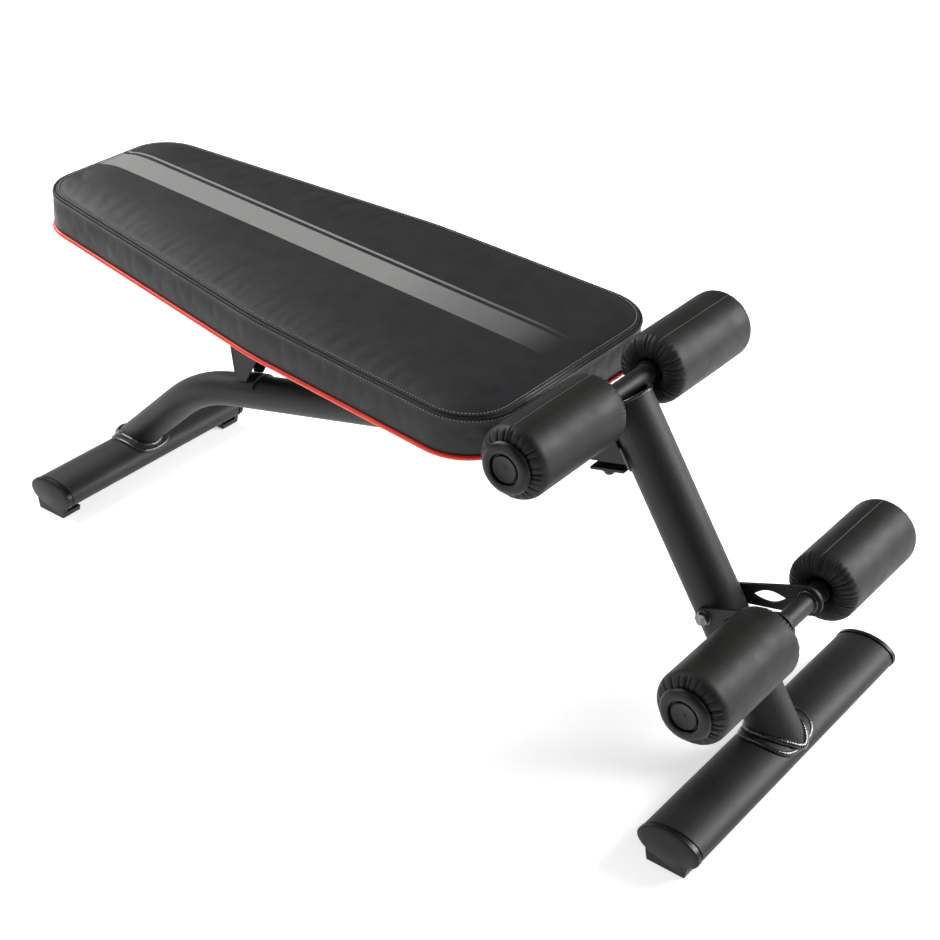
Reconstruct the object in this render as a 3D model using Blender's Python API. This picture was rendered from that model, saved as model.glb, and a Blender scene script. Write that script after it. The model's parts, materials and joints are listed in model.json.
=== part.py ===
"""Decline sit-up bench: tapered padded board on a folding two-part tube frame.

Frame of reference: metres, +Z up, floor at Z = 0.  X is across the bench, Y runs from the
roller end (-Y) to the head end (+Y), and X = Y = 0 is the middle of the footprint.
"""
import math

import bmesh
import bpy
from mathutils import Matrix, Vector

# ---- driving dimensions -------------------------------------------------------------------
GAP = 0.0003                      # clearance left between touching pieces
ROUND = 32                        # facets round a large tube

# floor stabilizers: flattened oval tubes lying across the bench
OVAL_HALF_WIDTH = 0.042
OVAL_HALF_HEIGHT = 0.023
OVAL_WALL = 0.002
OVAL_CENTRE_Z = 0.032
FRONT_Y = -0.5625
FRONT_HALF_LENGTH = 0.2505
REAR_Y = 0.5741
REAR_HALF_LENGTH = 0.190
CAP_LENGTH = 0.011
FOOT_HALF_WIDTH = 0.026
FOOT_REACH = 0.034
SADDLE_HALF_ANGLE = math.radians(62)
FRONT_SADDLE_HALF_X = 0.043
REAR_SADDLE_HALF_X = 0.036

# leaning upright of the front leg
UPRIGHT_RADIUS = 0.0322
UPRIGHT_WALL = 0.002
UPRIGHT_LEAN = math.radians(32.9)
UPRIGHT_FOOT_Z = 0.050            # height where the upright's axis passes over the front foot
UPPER_BAR_Z = 0.446
UPRIGHT_TOP_BELOW_BAR = 0.0105     # from the upper bar's axis down to the upright's cut end

# main tube under the board
TUBE_RADIUS = 0.0255
TUBE_WALL = 0.002
TUBE_SLOPE = math.radians(13.60)  # long front run
TUBE_STEEP = math.radians(43.60)  # short rear leg
TUBE_BEND_RADIUS = 0.250
TUBE_CORNER = (0.4290, 0.1926)    # Y, Z where the two runs would cross
TUBE_AHEAD = 0.061                # tube length in front of the fold pivot

# fold bracket between the upright and the main tube
PIVOT = (-0.2457, 0.3558)         # Y, Z of the fold axis
PIVOT_BOLT_RADIUS = 0.006
CHEEK_THICKNESS = 0.005
CHEEK_INNER_X = TUBE_RADIUS + 0.0004
CHEEK_HALF_HEIGHT = 0.034
CHEEK_DEPTH = 0.0138              # from the tube's axis to the cheek's straight lower edge
CHEEK_END_RADIUS = 0.0165
LOCK_AHEAD = 0.040                # pull pin's distance in front of the pivot
FLOOR_PLATE_FRONT = -0.0800       # welded to the upright here, measured from the pivot
FLOOR_PLATE_DEPTH = 0.0043        # from the tube's surface to the floor plate's underside
PIN_RADIUS = 0.004
BUSH_RADIUS = 0.006
KNOB_RADIUS = 0.0112

# leg rollers and their bars
BAR_RADIUS = 0.0127
BAR_WALL = 0.0018
BAR_PAST_ROLLER = 0.0005
ROLLER_RADIUS = 0.048
ROLLER_INNER_X = {"upper": 0.0515, "lower": 0.0580}
ROLLER_LENGTH = 0.186
SLEEVE_RADIUS = 0.0155
CAP_RADIUS = 0.0335
LOWER_BAR = (-0.5670, 0.229)      # Y, Z
LOWER_BOLT_Z = 0.198
LINK_BAR_RADIUS = 0.020           # plate's rounded end at the bar
LINK_BOLT_RADIUS = 0.0125         # and at the bolt
LINK_THICKNESS = 0.005
LINK_WINDOW_HALF = 0.0085

# padded board
PAD_ORIGIN = (-0.2276, 0.4509)    # Y, Z of the seam plane at the foot end
PAD_TILT = math.radians(3.76)
PAD_CORNERS = ((0.205, -0.0085, 0.072), (0.190, 0.360, 0.500), (0.124, 0.838, 0.065))
PAD_WALL = 0.054
PAD_CROWN = 0.007
PIPING_RADIUS = 0.0032
BOARD_THICKNESS = 0.012

# brackets that carry the board
REAR_MOUNT_Y = 0.318              # apex of the V-shaped rear bracket on the main tube
MOUNT_HALF_WIDTH = 0.019
MOUNT_SHEET = 0.003
MOUNT_PLATE = 0.004
BOLT_RADIUS = 0.004

# ---- derived directions and points ----------------------------------------------------------
X_AXIS = Vector((1, 0, 0))
UP_LEG = Vector((0, math.sin(UPRIGHT_LEAN), math.cos(UPRIGHT_LEAN)))
BEHIND_LEG = Vector((0, math.cos(UPRIGHT_LEAN), -math.sin(UPRIGHT_LEAN)))
LEG_FOOT = Vector((0, FRONT_Y, UPRIGHT_FOOT_Z))
UPPER_BAR = LEG_FOOT + UP_LEG * ((UPPER_BAR_Z - UPRIGHT_FOOT_Z) / UP_LEG.z)
LOWER_BOLT = LEG_FOOT + UP_LEG * ((LOWER_BOLT_Z - UPRIGHT_FOOT_Z) / UP_LEG.z)
LOWER_BAR_CENTRE = Vector((0, *LOWER_BAR))
TUBE_BACK = Vector((0, math.cos(TUBE_SLOPE), -math.sin(TUBE_SLOPE)))
TUBE_UP = Vector((0, math.sin(TUBE_SLOPE), math.cos(TUBE_SLOPE)))
STEEP_BACK = Vector((0, math.cos(TUBE_STEEP), -math.sin(TUBE_STEEP)))
PIVOT_POINT = Vector((0, *PIVOT))
TUBE_CORNER_POINT = Vector((0, *TUBE_CORNER))
PAD_ALONG = Vector((0, math.cos(PAD_TILT), math.sin(PAD_TILT)))
PAD_UP = Vector((0, -math.sin(PAD_TILT), math.cos(PAD_TILT)))
PAD_POINT = Vector((0, *PAD_ORIGIN))
BOARD_TOP = -PAD_WALL - GAP
BOARD_BOTTOM = BOARD_TOP - BOARD_THICKNESS

FINISHES = {
    "powder_coat": ((0.028, 0.028, 0.030), 0.42, 0.35),
    "zinc_steel": ((0.38, 0.38, 0.37), 0.32, 1.0),
    "black_plastic": ((0.016, 0.016, 0.018), 0.45, 0.0),
    "vinyl": ((0.022, 0.023, 0.024), 0.48, 0.0),
    "piping": ((0.85, 0.03, 0.012), 0.40, 0.0),
    "foam_cover": ((0.014, 0.014, 0.015), 0.40, 0.0),
    "plywood": ((0.05, 0.04, 0.035), 0.70, 0.0),
}


# ---- small modelling kit ---------------------------------------------------------------------
def clear_scene():
    for item in list(bpy.data.objects):
        bpy.data.objects.remove(item, do_unlink=True)


def finish_material(name, finish):
    colour, roughness, metallic = FINISHES[finish]
    material = bpy.data.materials.new(name + "_" + finish)
    material.use_nodes = True
    shader = material.node_tree.nodes["Principled BSDF"]
    shader.inputs["Base Color"].default_value = (*colour, 1.0)
    shader.inputs["Roughness"].default_value = roughness
    shader.inputs["Metallic"].default_value = metallic
    return material


def add_object(name, bm, finish, origin=Vector(), cutter=False):
    """Turn a bmesh in world coordinates into an object whose origin is the given point."""
    bmesh.ops.recalc_face_normals(bm, faces=bm.faces)
    bm.transform(Matrix.Translation(-origin))
    mesh = bpy.data.meshes.new(name)
    bm.to_mesh(mesh)
    bm.free()
    item = bpy.data.objects.new(name, mesh)
    item.location = origin
    bpy.context.scene.collection.objects.link(item)
    if cutter:
        item.hide_render = True
        item.display_type = "WIRE"
        return item
    mesh.materials.append(finish_material(name, finish))
    mesh.shade_smooth()
    mesh.set_sharp_from_angle(angle=math.radians(35))
    return item


def loft(rings, closed=False):
    """Bridge equal rings of points; a closed loft joins the last ring to the first."""
    bm = bmesh.new()
    loops = [[bm.verts.new(p) for p in ring] for ring in rings]
    count = len(rings[0])
    pairs = list(zip(loops, loops[1:]))
    if closed:
        pairs.append((loops[-1], loops[0]))
    for a, b in pairs:
        for i in range(count):
            j = (i + 1) % count
            bm.faces.new((a[i], a[j], b[j], b[i]))
    if not closed:
        bm.faces.new(loops[0])
        bm.faces.new(list(reversed(loops[-1])))
    return bm


def circle(centre, side, up, radius, count=ROUND):
    turn = [2 * math.pi * i / count for i in range(count)]
    return [centre + side * (radius * math.cos(a)) + up * (radius * math.sin(a)) for a in turn]


def lathe(centre, axis, profile, count=ROUND):
    """Solid of revolution; profile is (radius, distance along axis), first to last."""
    side = X_AXIS if abs(axis.x) < 0.5 else Vector((0, 1, 0))
    up = axis.cross(side).normalized()
    rings = [circle(centre + axis * along, side, up, radius, count) for radius, along in profile]
    return rings


def solid_round(centre, axis, profile, count=ROUND):
    return loft(lathe(centre, axis, profile, count))


def hollow_round(centre, axis, profile, count=ROUND):
    """Ring-shaped solid of revolution; the profile is a closed loop."""
    return loft(lathe(centre, axis, profile, count), closed=True)


def prism(outline, x0, x1):
    """Plate cut to an outline of (Y, Z) points and spanning x0 to x1."""
    rings = [[Vector((x, y, z)) for y, z in outline] for x in (x0, x1)]
    return loft(rings)


def slab(outline, base, along, up, low, high):
    """Plate cut to an outline of (X, along) points between two heights of a tilted plane."""
    rings = [[base + X_AXIS * x + along * s + up * h for x, s in outline] for h in (low, high)]
    return loft(rings)


def box_slab(name, finish, base, along, up, half_x, s0, s1, low, high):
    outline = ((-half_x, s0), (half_x, s0), (half_x, s1), (-half_x, s1))
    return add_object(name, slab(outline, base, along, up, low, high), finish)


def cut(item, cutter, operation="DIFFERENCE"):
    modifier = item.modifiers.new(cutter.name, "BOOLEAN")
    modifier.operation = operation
    modifier.solver = "EXACT"
    modifier.object = cutter


def cross_cutter(name, centre, radius, half_length=0.05):
    """Cylinder along X that drills through a plate or a tube."""
    bm = solid_round(centre, X_AXIS, ((radius, -half_length), (radius, half_length)), 24)
    return add_object(name, bm, None, cutter=True)


def yz(point):
    return (point.y, point.z)


def arc_points(centre, start, end, radius, count):
    """(Y, Z) points on an arc between two angles in degrees."""
    angles = [math.radians(start + (end - start) * i / (count - 1)) for i in range(count)]
    return [(centre[0] + radius * math.cos(a), centre[1] + radius * math.sin(a)) for a in angles]


def slot_outline(first, second, radius, count=12):
    """Round-ended slot between two (Y, Z) points."""
    angle = math.degrees(math.atan2(second[1] - first[1], second[0] - first[0]))
    ends = arc_points(second, angle - 90, angle + 90, radius, count)
    return ends + arc_points(first, angle + 90, angle + 270, radius, count)


def tapered_outline(first, second, first_radius, second_radius, count=12):
    """Plate outline with a different round end about each of two (Y, Z) points."""
    reach = second - first
    angle = math.degrees(math.atan2(reach.y, reach.x))
    flare = math.degrees(math.asin((second_radius - first_radius) / reach.length))
    ends = arc_points(second, angle - 90 - flare, angle + 90 + flare, second_radius, count)
    return ends + arc_points(first, angle + 90 + flare, angle + 270 - flare, first_radius, count)


def lens_outline(first, second, half, count=12):
    """Window with pointed ends: two shallow arcs between two (Y, Z) points."""
    reach = second - first
    across = Vector((-reach.y, reach.x)).normalized()
    points = []
    for side in (1, -1):
        for i in range(count):
            t = i / count
            along = first + reach * t if side > 0 else second - reach * t
            points.append(along + across * (side * half * math.sin(math.pi * t)))
    return [(p.x, p.y) for p in points]


# ---- floor stabilizers ------------------------------------------------------------------------
def oval_ring(x, centre_y, grow=0.0, count=ROUND):
    ring = []
    for i in range(count):
        a = 2 * math.pi * i / count
        y = centre_y + (OVAL_HALF_WIDTH + grow) * math.cos(a)
        z = OVAL_CENTRE_Z + (OVAL_HALF_HEIGHT + grow) * math.sin(a)
        ring.append(Vector((x, y, z)))
    return ring


def stabilizer_tube(name, centre_y, half_length):
    end = half_length - CAP_LENGTH - GAP
    rings = [oval_ring(-end, centre_y), oval_ring(end, centre_y)]
    rings += [oval_ring(end, centre_y, -OVAL_WALL), oval_ring(-end, centre_y, -OVAL_WALL)]
    add_object(name, loft(rings, closed=True), "powder_coat")


def foot_cap(name, centre_y, half_length, side):
    """End plug with a rounded flange, a groove behind it and a foot block below the tube."""
    plug = -OVAL_WALL - 0.0004
    steps = ((half_length - 0.030, plug - 0.002), (half_length - 0.026, plug),
             (half_length - CAP_LENGTH, plug), (half_length - CAP_LENGTH, -0.0012),
             (half_length - 0.0085, -0.0012), (half_length - 0.0085, 0.0008),
             (half_length - 0.002, 0.0008), (half_length, -0.0022))
    rings = [oval_ring(side * x, centre_y, grow) for x, grow in steps]
    cap = add_object(name, loft(rings), "black_plastic")
    top = OVAL_CENTRE_Z - OVAL_HALF_HEIGHT - GAP
    w = FOOT_HALF_WIDTH
    outline = ((-w, 0), (w, 0), (w + 0.002, top), (-w - 0.002, top))
    tongue = [[Vector((side * x, centre_y + y, z)) for y, z in outline]
              for x in (half_length - FOOT_REACH, half_length - 0.0005)]
    high = ((-w, 0), (w, 0), (w + 0.003, top + 0.007), (-w - 0.003, top + 0.007))
    block = [[Vector((side * x, centre_y + y, z)) for y, z in high]
             for x in (half_length - 0.0083, half_length - 0.0004)]
    cut(cap, add_object(name + "_block", loft(block), None, cutter=True), "UNION")
    cut(cap, add_object(name + "_tongue", loft(tongue), None, cutter=True), "UNION")


def saddle_plate(name, centre_y, half_x, half_angle):
    """Curved oval plate wrapped over the crown of a stabilizer."""
    steps = 5
    around = 28
    bm = bmesh.new()
    layers = []
    for grow in (2 * GAP, 0.0034):
        rings = []
        for k in range(1, steps + 1):
            ring = []
            for i in range(around):
                a = 2 * math.pi * i / around
                x = half_x * k / steps * math.copysign(abs(math.cos(a)) ** 0.8, math.cos(a))
                swing = half_angle * k / steps * math.copysign(abs(math.sin(a)) ** 0.8, math.sin(a))
                y = centre_y + (OVAL_HALF_WIDTH + grow) * math.sin(swing)
                z = OVAL_CENTRE_Z + (OVAL_HALF_HEIGHT + grow) * math.cos(swing)
                ring.append(bm.verts.new((x, y, z)))
            rings.append(ring)
        hub = bm.verts.new((0, centre_y, OVAL_CENTRE_Z + OVAL_HALF_HEIGHT + grow))
        layers.append((hub, rings))
    for hub, rings in layers:
        for i in range(around):
            j = (i + 1) % around
            bm.faces.new((hub, rings[0][i], rings[0][j]))
            for a, b in zip(rings, rings[1:]):
                bm.faces.new((a[i], b[i], b[j], a[j]))
    low, high = layers[0][1][-1], layers[1][1][-1]
    for i in range(around):
        j = (i + 1) % around
        bm.faces.new((low[i], low[j], high[j], high[i]))
    add_object(name, bm, "powder_coat")


def land_on_oval(point, direction, centre_y, clear, lowest):
    """First place where a ray comes within `clear` of a stabilizer's oval surface."""
    step = 0.0005
    for i in range(600):
        p = point + direction * (step * i)
        dy = (p.y - centre_y) / (OVAL_HALF_WIDTH + clear)
        dz = (p.z - OVAL_CENTRE_Z) / (OVAL_HALF_HEIGHT + clear)
        if dy * dy + dz * dz <= 1.0 or p.z <= lowest:
            return point + direction * (step * (i - 1))
    return point


# ---- front leg ----------------------------------------------------------------------------------
def upright_tube():
    """Round tube from the front saddle plate up to the coped seat of the upper bar."""
    top = UPPER_BAR - UP_LEG * UPRIGHT_TOP_BELOW_BAR
    rings = []
    bore = UPRIGHT_RADIUS - UPRIGHT_WALL
    for radius, at_top in ((UPRIGHT_RADIUS, False), (UPRIGHT_RADIUS, True), (bore, True), (bore, False)):
        ring = circle(top, X_AXIS, BEHIND_LEG, radius)
        if not at_top:
            start = [p - UP_LEG * 0.36 for p in ring]
            ring = [land_on_oval(p, -UP_LEG, FRONT_Y, 0.0050, 0.02) for p in start]
        rings.append(ring)
    tube = add_object("upright_tube", loft(rings, closed=True), "powder_coat", LEG_FOOT)
    cut(tube, cross_cutter("upright_bar_seat", UPPER_BAR, BAR_RADIUS + GAP))
    cut(tube, cross_cutter("upright_bolt_hole", LOWER_BOLT, 0.0054))


def fold_cheek(name, side):
    """Bracket plate welded beside the upright and reaching back to the fold pivot."""
    seat = PIVOT_POINT - TUBE_BACK * 0.084
    stand_off = math.sqrt(UPRIGHT_RADIUS ** 2 - CHEEK_INNER_X ** 2) + 2 * GAP
    front = seat + BEHIND_LEG * ((LEG_FOOT - seat).dot(BEHIND_LEG) + stand_off)
    tilt = -math.degrees(TUBE_SLOPE)
    drop = (front - PIVOT_POINT).dot(TUBE_UP) + CHEEK_DEPTH
    low = front - UP_LEG * (drop / UP_LEG.dot(TUBE_UP))
    turn = math.degrees(math.asin(CHEEK_DEPTH / CHEEK_END_RADIUS))
    outline = [yz(front + UP_LEG * CHEEK_HALF_HEIGHT), yz(low)]
    outline += arc_points(PIVOT, tilt - turn, tilt + 90, CHEEK_END_RADIUS, 14)
    x0, x1 = sorted((side * CHEEK_INNER_X, side * (CHEEK_INNER_X + CHEEK_THICKNESS)))
    plate = add_object(name, prism(outline, x0, x1), "powder_coat")
    cut(plate, cross_cutter(name + "_hole", PIVOT_POINT, PIVOT_BOLT_RADIUS + GAP))


def fold_floor_plate():
    """Seat plate under the tube's front end that takes the load and holds the pull pin."""
    half = CHEEK_INNER_X - GAP
    plate = box_slab("fold_floor_plate", "powder_coat", PIVOT_POINT, TUBE_BACK, TUBE_UP, half,
                     FLOOR_PLATE_FRONT, -0.030, -TUBE_RADIUS - FLOOR_PLATE_DEPTH, -TUBE_RADIUS - GAP)
    centre = PIVOT_POINT - TUBE_BACK * LOCK_AHEAD
    hole = BUSH_RADIUS + GAP
    drill = solid_round(centre, TUBE_UP, ((hole, -0.05), (hole, -0.01)), 24)
    cut(plate, add_object("floor_plate_hole", drill, None, cutter=True))


def pull_pin():
    """Sprung lock pin with its flanged bush and conical knob."""
    centre = PIVOT_POINT - TUBE_BACK * LOCK_AHEAD
    down = -TUBE_UP
    under = TUBE_RADIUS + FLOOR_PLATE_DEPTH
    bore = PIN_RADIUS + GAP
    bush_top = TUBE_RADIUS + 0.001
    bush_bottom = under + 0.007
    bush = ((bore, bush_top), (BUSH_RADIUS, bush_top), (BUSH_RADIUS, bush_bottom), (bore, bush_bottom))
    add_object("lock_pin_bush", hollow_round(centre, down, bush, 24), "zinc_steel", centre)
    pin = ((PIN_RADIUS - 0.0012, 0.0185), (PIN_RADIUS, 0.020), (PIN_RADIUS, under + 0.012))
    add_object("lock_pin", solid_round(centre, down, pin, 24), "zinc_steel", centre)
    top = under + 0.0006
    pin_end = under + 0.0123
    recess = under + 0.0078
    clear = BUSH_RADIUS + 0.0004
    knob = ((clear, top), (0.0100, top), (KNOB_RADIUS, top + 0.0015), (KNOB_RADIUS, top + 0.0035),
            (0.0070, top + 0.0135), (0.0050, top + 0.0155), (0.0005, top + 0.0160),
            (0.0005, pin_end), (bore, pin_end), (bore, recess), (clear, recess))
    add_object("lock_knob", hollow_round(centre, down, knob, 32), "black_plastic", centre)


def bolt_ring(centre, x, radius, hexagonal):
    """Ring of 24 points round X: a circle, or a hexagon measured to its corners."""
    ring = []
    for i in range(24):
        a = 2 * math.pi * i / 24
        r = radius
        if hexagonal:
            r *= math.cos(math.pi / 6) / math.cos((a % (math.pi / 3)) - math.pi / 6)
        ring.append(centre + Vector((x, r * math.cos(a), r * math.sin(a))))
    return ring


def cross_bolt(name, centre, radius, half_grip, side=-1):
    """Hex-headed bolt along X with its head on the given side."""
    corner = radius * 1.95
    head = radius * 1.15
    grip = side * half_grip
    steps = ((-grip - side * (radius * 1.5 + 0.002), radius, False), (grip, radius, False),
             (grip, corner * 0.97, True), (grip + side * head * 0.8, corner, True),
             (grip + side * head, corner * 0.9, True))
    rings = [bolt_ring(centre, x, r, hexagonal) for x, r, hexagonal in steps]
    add_object(name, loft(rings), "zinc_steel", centre)


def hex_nut(name, centre, radius, x, side):
    corner = radius * 1.95
    thick = radius * 1.5
    steps = ((0.0, corner * 0.94, True), (0.0008, corner, True), (thick - 0.0008, corner, True),
             (thick, corner * 0.94, True), (thick, radius + GAP, False), (0.0, radius + GAP, False))
    rings = [bolt_ring(centre, x + side * along, r, hexagonal) for along, r, hexagonal in steps]
    add_object(name, loft(rings, closed=True), "zinc_steel", centre)


def washer(name, centre, radius, x, side):
    rim = radius * 2.05
    far = x + side * 0.0014
    loop = ((radius + GAP, x), (rim, x), (rim, far), (radius + GAP, far))
    add_object(name, hollow_round(centre, X_AXIS, loop, 28), "zinc_steel", centre)


def lower_link(name, side):
    """Long plate with an oval window that carries the lower roller bar."""
    x_in = UPRIGHT_RADIUS + GAP
    x0, x1 = sorted((side * x_in, side * (x_in + LINK_THICKNESS)))
    bolt = Vector(yz(LOWER_BOLT))
    outline = tapered_outline(bolt, Vector(LOWER_BAR), LINK_BOLT_RADIUS, LINK_BAR_RADIUS)
    plate = add_object(name, prism(outline, x0, x1), "powder_coat")
    reach = Vector(LOWER_BAR) - bolt
    lens = lens_outline(bolt + reach * 0.26, bolt + reach * 0.72, LINK_WINDOW_HALF)
    window = add_object(name + "_window", prism(lens, -0.06, 0.06), None, cutter=True)
    cut(plate, window)
    cut(plate, cross_cutter(name + "_bar_hole", LOWER_BAR_CENTRE, BAR_RADIUS + GAP))
    cut(plate, cross_cutter(name + "_bolt_hole", LOWER_BOLT, 0.0054))


# ---- rollers --------------------------------------------------------------------------------------
def roller_outer_x(level):
    return ROLLER_INNER_X[level] + ROLLER_LENGTH


def roller_bar(level, centre):
    r, wall, end = BAR_RADIUS, BAR_WALL, roller_outer_x(level) + BAR_PAST_ROLLER
    loop = ((r, -end), (r, end), (r - wall, end), (r - wall, -end))
    add_object(level + "_roller_bar", hollow_round(centre, X_AXIS, loop, 32), "powder_coat", centre)


def roller_set(level, hand, centre, side):
    """Foam roller with its inner sleeve, and the cap that closes the bar's end."""
    inner, outer, radius = ROLLER_INNER_X[level], roller_outer_x(level), ROLLER_RADIUS
    bore = SLEEVE_RADIUS + GAP
    shoulder = []
    for i in range(5):
        a = math.radians(90 * i / 4)
        shoulder.append((radius - 0.022 * (1 - math.sin(a)), 0.022 * (1 - math.cos(a))))
    ends = [(r, inner + depth) for r, depth in shoulder]
    ends += [(r, outer - depth) for r, depth in reversed(shoulder)]
    loop = [(bore, inner)] + ends + [(bore, outer)]
    axis = X_AXIS * side
    label = "%s_%s" % (level, hand)
    add_object("roller_foam_" + label, hollow_round(centre, axis, loop), "foam_cover", centre)
    sleeve = ((BAR_RADIUS + GAP, inner + 0.001), (SLEEVE_RADIUS, inner + 0.001),
              (SLEEVE_RADIUS, outer - 0.001), (BAR_RADIUS + GAP, outer - 0.001))
    add_object("roller_sleeve_" + label, hollow_round(centre, axis, sleeve, 24), "black_plastic", centre)
    plug = BAR_RADIUS - BAR_WALL - 0.0004
    face = outer + 0.0006
    cap = ((plug - 0.001, outer - 0.0235), (plug, outer - 0.0215), (plug, face),
           (CAP_RADIUS - 0.001, face), (CAP_RADIUS, face + 0.0015), (CAP_RADIUS - 0.0015, face + 0.0045),
           (CAP_RADIUS - 0.006, face + 0.0072), (0.0200, face + 0.0078), (0.0180, face + 0.0050),
           (0.0020, face + 0.0056))
    add_object("bar_end_cap_" + label, solid_round(centre, axis, cap, 32), "black_plastic", centre)


# ---- main frame --------------------------------------------------------------------------------------
def main_tube_path():
    """Centre points and headings: straight run, bend and steep rear leg."""
    turn = TUBE_STEEP - TUBE_SLOPE
    tangent = TUBE_BEND_RADIUS * math.tan(turn / 2)
    start = TUBE_CORNER_POINT - TUBE_BACK * tangent
    centre = start - TUBE_UP * TUBE_BEND_RADIUS
    stations = [(PIVOT_POINT - TUBE_BACK * TUBE_AHEAD, TUBE_SLOPE)]
    for i in range(9):
        slope = TUBE_SLOPE + turn * i / 8
        normal = Vector((0, math.sin(slope), math.cos(slope)))
        stations.append((centre + normal * TUBE_BEND_RADIUS, slope))
    return stations


def main_tube():
    def skin(radius):
        rings = []
        for point, slope in main_tube_path():
            rings.append(circle(point, X_AXIS, Vector((0, math.sin(slope), math.cos(slope))), radius))
        rings.append([land_on_oval(p, STEEP_BACK, REAR_Y, 0.0038, 0.050) for p in rings[-1]])
        return rings

    rings = skin(TUBE_RADIUS) + list(reversed(skin(TUBE_RADIUS - TUBE_WALL)))
    tube = add_object("main_tube", loft(rings, closed=True), "powder_coat", PIVOT_POINT)
    cut(tube, cross_cutter("main_tube_pivot_hole", PIVOT_POINT, PIVOT_BOLT_RADIUS + GAP))
    centre = PIVOT_POINT - TUBE_BACK * LOCK_AHEAD
    hole = PIN_RADIUS + 0.0008
    drill = solid_round(centre, -TUBE_UP, ((hole, 0.015), (hole, 0.04)), 24)
    cut(tube, add_object("main_tube_pin_hole", drill, None, cutter=True))


def tube_centre_z(y):
    return PIVOT_POINT.z - (y - PIVOT_POINT.y) * math.tan(TUBE_SLOPE)


def board_plane_z(y, height):
    """World height of the plane at `height` above the pad's seam plane."""
    return PAD_POINT.z + (y - PAD_POINT.y) * math.tan(PAD_TILT) + height / math.cos(PAD_TILT)


def pad_point(s):
    return PAD_POINT + PAD_ALONG * s


def rear_mount():
    """V-shaped sheet bracket: curved base on the tube, two cheeks, a back web and a top plate."""
    base_radius = TUBE_RADIUS + 0.0032
    apex = Vector((0, REAR_MOUNT_Y, tube_centre_z(REAR_MOUNT_Y)))
    rings = []
    for along in (-0.021, 0.021):
        ring = []
        for radius, start, end in ((base_radius, -56, 56), (TUBE_RADIUS + GAP, 56, -56)):
            for i in range(13):
                a = math.radians(start + (end - start) * i / 12)
                ring.append(apex + TUBE_BACK * along + X_AXIS * (radius * math.sin(a))
                            + TUBE_UP * (radius * math.cos(a)))
        rings.append(ring)
    add_object("rear_bracket_base", loft(rings), "powder_coat")

    inner = MOUNT_HALF_WIDTH - MOUNT_SHEET
    lift = math.sqrt(base_radius ** 2 - inner ** 2) + GAP
    foot_front = apex + TUBE_UP * lift - TUBE_BACK * 0.006
    foot_back = apex + TUBE_UP * lift + TUBE_BACK * 0.012
    under = BOARD_BOTTOM - MOUNT_PLATE - 2 * GAP
    top_back_y = foot_back.y + 0.026
    top_front_y = foot_back.y - 0.105
    outline = [yz(foot_back), (top_back_y, board_plane_z(top_back_y, under)),
               (top_front_y, board_plane_z(top_front_y, under)), yz(foot_front)]
    for side, hand in ((-1, "left"), (1, "right")):
        x0, x1 = sorted((side * inner, side * MOUNT_HALF_WIDTH))
        add_object("rear_bracket_cheek_" + hand, prism(outline, x0, x1), "powder_coat")

    low = Vector((0, *yz(foot_back)))
    high = Vector((0, top_back_y, board_plane_z(top_back_y, under)))
    rise = (high - low).normalized()
    across = Vector((0, rise.z, -rise.y))
    web = (low + rise * 0.0065, high - rise * 0.001)
    corners = [yz(web[0] + across * GAP), yz(web[1] + across * GAP),
               yz(web[1] + across * (GAP + MOUNT_SHEET)), yz(web[0] + across * (GAP + MOUNT_SHEET))]
    add_object("rear_bracket_web", prism(corners, -MOUNT_HALF_WIDTH, MOUNT_HALF_WIDTH), "powder_coat")
    mount_plate("rear_mount_plate", top_front_y - 0.010, top_back_y + 0.012, 0.060)


def mount_plate(name, y0, y1, half_x):
    s0 = (y0 - PAD_POINT.y) / PAD_ALONG.y
    s1 = (y1 - PAD_POINT.y) / PAD_ALONG.y
    plate = box_slab(name, "powder_coat", PAD_POINT, PAD_ALONG, PAD_UP, half_x, s0, s1,
                     BOARD_BOTTOM - GAP - MOUNT_PLATE, BOARD_BOTTOM - GAP)
    for side, hand in ((-1, "left"), (1, "right")):
        centre = pad_point((s0 + s1) / 2) + X_AXIS * (side * (half_x - 0.015))
        drill = solid_round(centre, PAD_UP, ((BOLT_RADIUS + GAP, -0.10), (BOLT_RADIUS + GAP, -0.05)), 20)
        cut(plate, add_object("%s_hole_%s" % (name, hand), drill, None, cutter=True))
        pad_bolt("%s_bolt_%s" % (name, hand), centre)


def pad_bolt(name, centre):
    """Cap-head bolt driven up through a mount plate into the board."""
    seat = BOARD_BOTTOM - 2 * GAP - MOUNT_PLATE
    profile = ((BOLT_RADIUS * 1.6, seat - 0.0045), (BOLT_RADIUS * 1.8, seat - 0.0035),
               (BOLT_RADIUS * 1.8, seat), (BOLT_RADIUS, seat), (BOLT_RADIUS, BOARD_TOP - 0.002))
    add_object(name, solid_round(centre, PAD_UP, profile, 24), "zinc_steel", centre)


def front_mount():
    """Low saddle bracket that seats the foot end of the board on the main tube."""
    y0, y1 = -0.190, -0.130
    inner = 0.014
    lift = (math.sqrt(TUBE_RADIUS ** 2 - inner ** 2) + GAP) / math.cos(TUBE_SLOPE)
    under = BOARD_BOTTOM - MOUNT_PLATE - 2 * GAP
    outline = [(y0, tube_centre_z(y0) + lift), (y1, tube_centre_z(y1) + lift),
               (y1, board_plane_z(y1, under)), (y0, board_plane_z(y0, under))]
    for side, hand in ((-1, "left"), (1, "right")):
        x0, x1 = sorted((side * inner, side * (inner + MOUNT_SHEET)))
        add_object("front_bracket_cheek_" + hand, prism(outline, x0, x1), "powder_coat")
    mount_plate("front_mount_plate", y0 - 0.002, y1 + 0.006, 0.055)


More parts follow.
